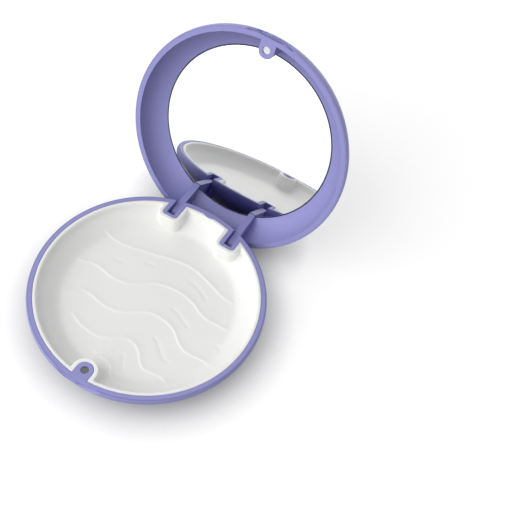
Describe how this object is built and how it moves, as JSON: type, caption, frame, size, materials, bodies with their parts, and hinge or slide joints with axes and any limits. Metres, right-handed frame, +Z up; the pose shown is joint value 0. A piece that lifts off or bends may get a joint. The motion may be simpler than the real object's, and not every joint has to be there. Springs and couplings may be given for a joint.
{
  "type": "hinged denture case",
  "caption": "Round pocket-size denture or aligner case, open on its hinge: white snap-in tray liner in the base, round mirror in the lid, small magnets as the catch.",
  "frame": {"origin": "centre of the flat bottom of the base, on the surface it stands on", "axes": "+Z up, -Y to the front with the finger notch and the magnet catch, +Y to the hinge, X along the hinge axis"},
  "size_m": [0.0806, 0.115, 0.0765],
  "materials": {
    "shell_plastic": "satin",
    "liner_plastic": "matte",
    "magnet_metal": "satin",
    "pin_steel": "satin",
    "mirror_glass": "polished",
    "tape_foam": "matte"
  },
  "bodies": {
    "base": {"base_shell": "shell_plastic", "tray_liner": "liner_plastic", "base_magnet": "magnet_metal", "hinge_pin_left": "pin_steel", "hinge_pin_right": "pin_steel"},
    "lid": {"lid_shell": "shell_plastic", "lid_frame": "shell_plastic", "mirror": "mirror_glass", "mirror_tape": "tape_foam", "lid_magnet": "magnet_metal"}
  },
  "joints": [
    {"name": "lid_hinge", "type": "hinge", "parent": "base", "child": "lid", "pos_m": [0, 0.0352, 0.00735], "axis": [-1, 0, 0], "range_deg": [-110, 0]}
  ]
}
